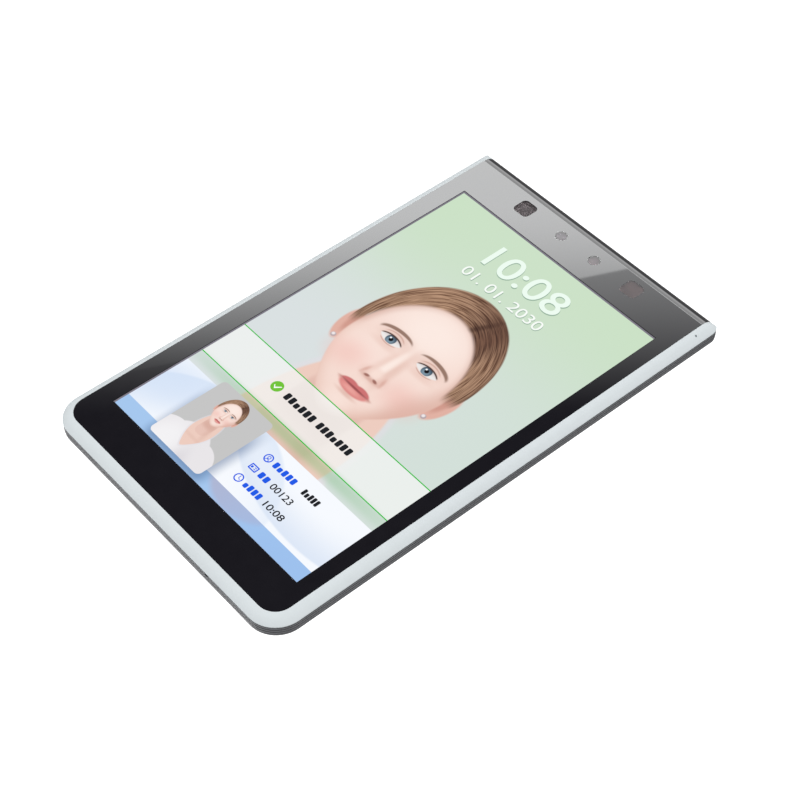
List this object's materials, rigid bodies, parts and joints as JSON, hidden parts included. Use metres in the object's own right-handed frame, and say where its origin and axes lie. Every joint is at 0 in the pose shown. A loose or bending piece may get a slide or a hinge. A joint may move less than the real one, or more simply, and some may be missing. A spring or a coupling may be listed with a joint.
{
  "type": "face recognition access terminal",
  "caption": "Slim wall-mounted face recognition terminal: bright portrait display under one black-bordered glass, paired cameras, ribbed dark housing on a hook-on steel bracket.",
  "frame": {"origin": "wall face of the bracket, under the middle of the terminal's outline", "axes": "+X to the right of the screen, +Y to the top of the screen, +Z out of the glass; on a wall +Y points up"},
  "size_m": [0.1308, 0.217, 0.022],
  "materials": {
    "bracket_steel": "zinc plated sheet steel, satin",
    "fastener_steel": "zinc plated steel",
    "cover_glass": "clear polished glass with an anti-reflection coat over the picture",
    "black_print": "black print behind the glass",
    "dark_foam": "foam tape",
    "frame_white": "fine satin moulded plastic, cool white",
    "lcd_cell": "lit display picture",
    "sheet_metal": "pressed metal tray",
    "camera_black": "black moulded lens barrel",
    "circuit_board": "green solder mask",
    "light_window_smoke": "smoked diffuser",
    "light_window_red": "dark red infrared filter",
    "white_plastic": "white moulded plastic",
    "flex_amber": "amber flexible circuit",
    "housing_dark": "dark grey powder coat on cast aluminium",
    "chip_black": "moulded chip package",
    "thermal_pad": "soft grey-blue silicone pad",
    "connector_black": "black moulded plastic",
    "cell_steel": "nickel plated steel",
    "capacitor_can": "aluminium can",
    "terminal_green": "green moulded plastic",
    "connector_metal": "tin plated shell",
    "connector_ivory": "ivory moulded plastic",
    "plunger_red": "red moulded plastic",
    "rubber_black": "black rubber"
  },
  "bodies": {
    "bracket": {"wall_bracket": "bracket_steel", "security_screw": "fastener_steel"},
    "terminal": {"cover_glass": "cover_glass", "border_film": "black_print", "glass_tape": "dark_foam", "front_frame": "frame_white", "lcd_panel": "lcd_cell", "lcd_backlight": "sheet_metal", "mid_plate": "sheet_metal", "color_camera": "camera_black", "infrared_camera": "camera_black", "camera_board": "circuit_board", "fill_light_window": "light_window_smoke", "infrared_light_window": "light_window_red", "fill_light_board": "circuit_board", "infrared_light_board": "circuit_board", "light_reflectors": "white_plastic", "microphone": "sheet_metal", "card_antenna_board": "circuit_board", "wifi_antenna": "flex_amber", "rear_housing": "housing_dark", "housing_gasket": "dark_foam", "case_screws": "fastener_steel", "main_board": "circuit_board", "board_screws": "fastener_steel", "processor": "chip_black", "memory_chips": "chip_black", "shield_can": "sheet_metal", "thermal_pad": "thermal_pad", "wifi_module": "sheet_metal", "coin_cell_holder": "connector_black", "coin_cell": "cell_steel", "relay": "white_plastic", "capacitors": "capacitor_can", "terminal_block": "terminal_green", "ethernet_jack": "connector_metal", "usb_port": "connector_metal", "flex_connectors": "connector_ivory", "display_flex": "flex_amber", "camera_flex": "flex_amber", "speaker": "connector_black", "speaker_gasket": "dark_foam", "tamper_switch": "connector_black", "reset_switch": "connector_black", "bay_cover": "housing_dark", "bay_cover_screws": "fastener_steel", "cable_grommet": "rubber_black"},
    "tamper_plunger": {"tamper_plunger": "plunger_red"},
    "reset_button": {"reset_button": "white_plastic"}
  },
  "joints": [
    {"name": "unhook_slide", "type": "slide", "parent": "bracket", "child": "terminal", "axis": [0, 1, 0], "range_m": [0, 0.006]},
    {"name": "tamper_travel", "type": "slide", "parent": "terminal", "child": "tamper_plunger", "axis": [0, 0, -1], "range_m": [0, 0.0012], "stiffness_N_per_m": 200, "springref_m": 0.0025},
    {"name": "reset_press", "type": "slide", "parent": "terminal", "child": "reset_button", "axis": [0, 0, 1], "range_m": [0, 0.0005], "stiffness_N_per_m": 800}
  ]
}
